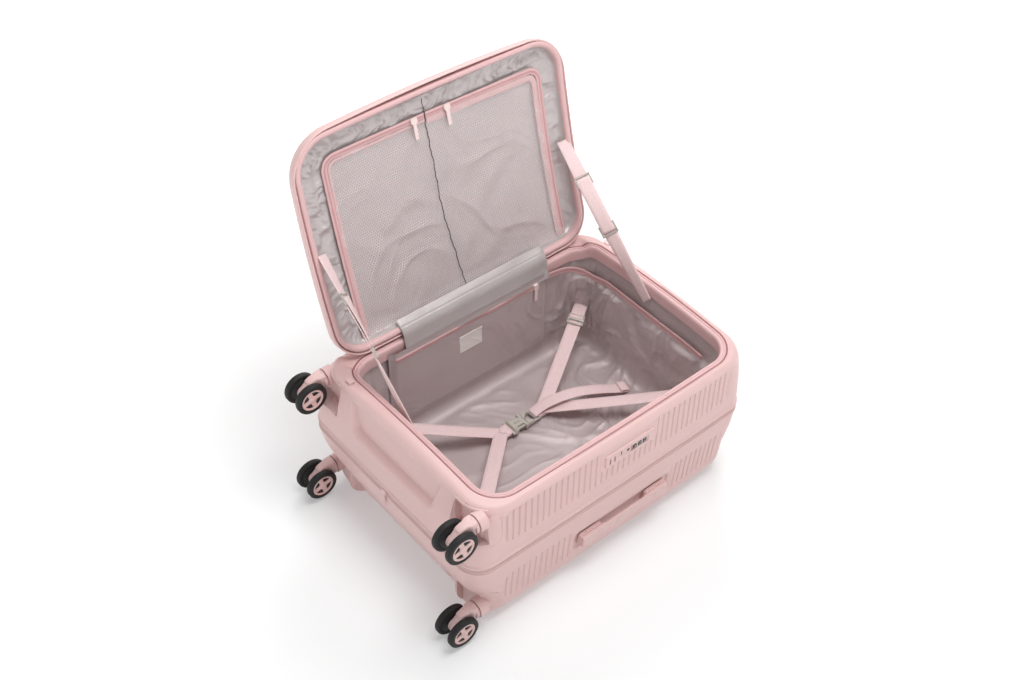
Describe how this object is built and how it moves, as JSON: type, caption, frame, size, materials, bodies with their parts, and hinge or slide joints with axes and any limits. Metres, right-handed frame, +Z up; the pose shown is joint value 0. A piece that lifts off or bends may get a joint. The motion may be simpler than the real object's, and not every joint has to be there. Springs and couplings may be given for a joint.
{
  "type": "hard shell suitcase on wheels",
  "caption": "Rectangular hard shell travel case with a hinged zip lid, expansion band, fabric lining, mesh pockets, straps, dial lock, twin-wheel swivel casters and telescopic handle.",
  "frame": {"origin": "middle of the back shell's flat bottom, on the floor", "axes": "+X towards the telescopic handle end, -X the wheels, -Y the lock side, +Y the lid hinge, +Z up with the case lying on its back and the lid open"},
  "size_m": [0.6719, 0.5505, 0.6751],
  "materials": {
    "shell": "fine matte",
    "hard_trim": "matte",
    "zip_tape": "woven tape",
    "lining": "satin",
    "mesh": "open net",
    "webbing": "woven",
    "buckle_plastic": "satin",
    "zip_metal": "satin",
    "lock_parts": "satin",
    "steel": "brushed",
    "tube": "anodised",
    "dark_plastic": "matte",
    "wheel": "matte"
  },
  "bodies": {
    "case": {"back_shell": "shell", "buckle_female": "buckle_plastic", "case_lining": "lining", "cross_strap_left": "webbing", "cross_strap_right": "webbing", "expansion_gusset": "lining", "expansion_zip": "zip_tape", "front_shell": "shell", "handle_bases": "hard_trim", "hinge_sleeve": "lining", "label_patch": "lining", "lock_housing": "hard_trim", "rim_zip": "zip_tape", "strap_adjuster": "buckle_plastic", "support_adjusters": "buckle_plastic", "support_strap_left": "webbing", "support_strap_right": "webbing", "trolley_base_bracket": "dark_plastic", "trolley_housing": "hard_trim", "trolley_outer_tubes": "tube", "wall_pocket": "lining", "wall_pocket_zip": "zip_tape", "wheel_housings_back": "hard_trim", "wheel_housings_front": "hard_trim"},
    "lid": {"lid_shell": "shell", "lid_zip": "zip_tape", "lid_lining": "lining", "mesh_pockets": "mesh", "mesh_pocket_zips": "zip_tape"},
    "mesh_slider_left": {"mesh_slider_left": "zip_metal"},
    "mesh_slider_right": {"mesh_slider_right": "zip_metal"},
    "wall_slider": {"wall_pocket_slider": "zip_metal"},
    "buckle_release": {"buckle_male": "buckle_plastic", "strap_tail": "webbing"},
    "key_cylinder": {"key_cylinder": "steel"},
    "lock_button": {"lock_button": "lock_parts"},
    "dial_1": {"lock_dial_1": "lock_parts"},
    "dial_2": {"lock_dial_2": "lock_parts"},
    "dial_3": {"lock_dial_3": "lock_parts"},
    "side_handle": {"side_handle_grip": "hard_trim"},
    "top_handle": {"top_handle_grip": "hard_trim"},
    "trolley_middle": {"trolley_middle_tubes": "tube"},
    "trolley_inner": {"trolley_inner_tubes": "tube", "trolley_grip": "hard_trim"},
    "trolley_button": {"trolley_button": "lock_parts"},
    "zip_slider_wheel_end": {"lid_zip_slider_wheel_end": "zip_metal"},
    "zip_slider_top_end": {"lid_zip_slider_top_end": "zip_metal"},
    "expansion_slider": {"expansion_zip_slider": "zip_metal"},
    "front_lock_swivel": {"front_lock_caster_fork": "hard_trim"},
    "front_lock_wheelset": {"front_lock_axle": "steel", "front_lock_wheels": "wheel"},
    "front_hinge_swivel": {"front_hinge_caster_fork": "hard_trim"},
    "front_hinge_wheelset": {"front_hinge_axle": "steel", "front_hinge_wheels": "wheel"},
    "back_lock_swivel": {"back_lock_caster_fork": "hard_trim"},
    "back_lock_wheelset": {"back_lock_axle": "steel", "back_lock_wheels": "wheel"},
    "back_hinge_swivel": {"back_hinge_caster_fork": "hard_trim"},
    "back_hinge_wheelset": {"back_hinge_axle": "steel", "back_hinge_wheels": "wheel"}
  },
  "joints": [
    {"name": "lid_hinge", "type": "hinge", "parent": "case", "child": "lid", "pos_m": [0, 0.184, 0.2875], "axis": [1, 0, 0], "range_deg": [0, 105.3], "deforming": ["support_strap_left", "support_strap_right", "support_adjusters", "hinge_sleeve"]},
    {"name": "front_lock_swivel", "type": "hinge", "parent": "case", "child": "front_lock_swivel", "pos_m": [-0.3, -0.2008, 0.2638], "axis": [1, 0, 0], "continuous": true},
    {"name": "front_lock_wheel_spin", "type": "hinge", "parent": "front_lock_swivel", "child": "front_lock_wheelset", "pos_m": [-0.3374, -0.2008, 0.2508], "axis": [0, 1, 0], "continuous": true},
    {"name": "front_hinge_swivel", "type": "hinge", "parent": "case", "child": "front_hinge_swivel", "pos_m": [-0.3, 0.2008, 0.2638], "axis": [1, 0, 0], "continuous": true},
    {"name": "front_hinge_wheel_spin", "type": "hinge", "parent": "front_hinge_swivel", "child": "front_hinge_wheelset", "pos_m": [-0.3374, 0.2008, 0.2508], "axis": [0, 1, 0], "continuous": true},
    {"name": "back_lock_swivel", "type": "hinge", "parent": "case", "child": "back_lock_swivel", "pos_m": [-0.3, -0.2008, 0.047], "axis": [1, 0, 0], "continuous": true},
    {"name": "back_lock_wheel_spin", "type": "hinge", "parent": "back_lock_swivel", "child": "back_lock_wheelset", "pos_m": [-0.3374, -0.2008, 0.034], "axis": [0, 1, 0], "continuous": true},
    {"name": "back_hinge_swivel", "type": "hinge", "parent": "case", "child": "back_hinge_swivel", "pos_m": [-0.3, 0.2008, 0.047], "axis": [1, 0, 0], "continuous": true},
    {"name": "back_hinge_wheel_spin", "type": "hinge", "parent": "back_hinge_swivel", "child": "back_hinge_wheelset", "pos_m": [-0.3374, 0.2008, 0.034], "axis": [0, 1, 0], "continuous": true},
    {"name": "trolley_lower_stage", "type": "slide", "parent": "case", "child": "trolley_middle", "axis": [1, 0, 0], "range_m": [0, 0.21]},
    {"name": "trolley_upper_stage", "type": "slide", "parent": "trolley_middle", "child": "trolley_inner", "axis": [1, 0, 0], "range_m": [0, 0.21]},
    {"name": "trolley_button_press", "type": "slide", "parent": "trolley_inner", "child": "trolley_button", "axis": [-1, 0, 0], "range_m": [0, 0.004], "stiffness_N_per_m": 400},
    {"name": "side_handle_pull", "type": "slide", "parent": "case", "child": "side_handle", "axis": [0, -1, 0], "range_m": [0, 0.02], "stiffness_N_per_m": 60},
    {"name": "top_handle_pull", "type": "slide", "parent": "case", "child": "top_handle", "axis": [1, 0, 0], "range_m": [0, 0.02], "stiffness_N_per_m": 60},
    {"name": "dial_1_turn", "type": "hinge", "parent": "case", "child": "dial_1", "pos_m": [0.014, -0.2185, 0.2405], "axis": [1, 0, 0], "continuous": true},
    {"name": "dial_2_turn", "type": "hinge", "parent": "case", "child": "dial_2", "pos_m": [0.025, -0.2185, 0.2405], "axis": [1, 0, 0], "continuous": true},
    {"name": "dial_3_turn", "type": "hinge", "parent": "case", "child": "dial_3", "pos_m": [0.036, -0.2185, 0.2405], "axis": [1, 0, 0], "continuous": true},
    {"name": "lock_button_press", "type": "slide", "parent": "case", "child": "lock_button", "axis": [0, 1, 0], "range_m": [0, 0.0025], "stiffness_N_per_m": 400},
    {"name": "key_turn", "type": "hinge", "parent": "case", "child": "key_cylinder", "pos_m": [-0.016, -0.22, 0.245], "axis": [0, 1, 0], "range_deg": [0, 90]},
    {"name": "mesh_zip_left", "type": "slide", "parent": "lid", "child": "mesh_slider_left", "axis": [-1, 0, 0], "range_m": [0, 0.15]},
    {"name": "mesh_zip_right", "type": "slide", "parent": "lid", "child": "mesh_slider_right", "axis": [1, 0, 0], "range_m": [0, 0.15]},
    {"name": "wall_pocket_zip_run", "type": "slide", "parent": "case", "child": "wall_slider", "axis": [-1, 0, 0], "range_m": [0, 0.3]},
    {"name": "buckle_release", "type": "slide", "parent": "case", "child": "buckle_release", "axis": [1, 0, 0], "range_m": [0, 0.028], "deforming": ["cross_strap_right"]},
    {"name": "lid_zip_run_wheel_end", "type": "slide", "parent": "case", "child": "zip_slider_wheel_end", "axis": [0, -0.9989, 0.0469], "range_m": [0, 0.09]},
    {"name": "lid_zip_run_top_end", "type": "slide", "parent": "case", "child": "zip_slider_top_end", "axis": [0, -0.9989, 0.0469], "range_m": [0, 0.09]},
    {"name": "expansion_zip_run", "type": "slide", "parent": "case", "child": "expansion_slider", "axis": [0, 1, 0], "range_m": [-0.12, 0.1]}
  ],
  "couplings": [
    {"joint": "trolley_upper_stage", "follows": "trolley_lower_stage", "ratio": 1}
  ]
}
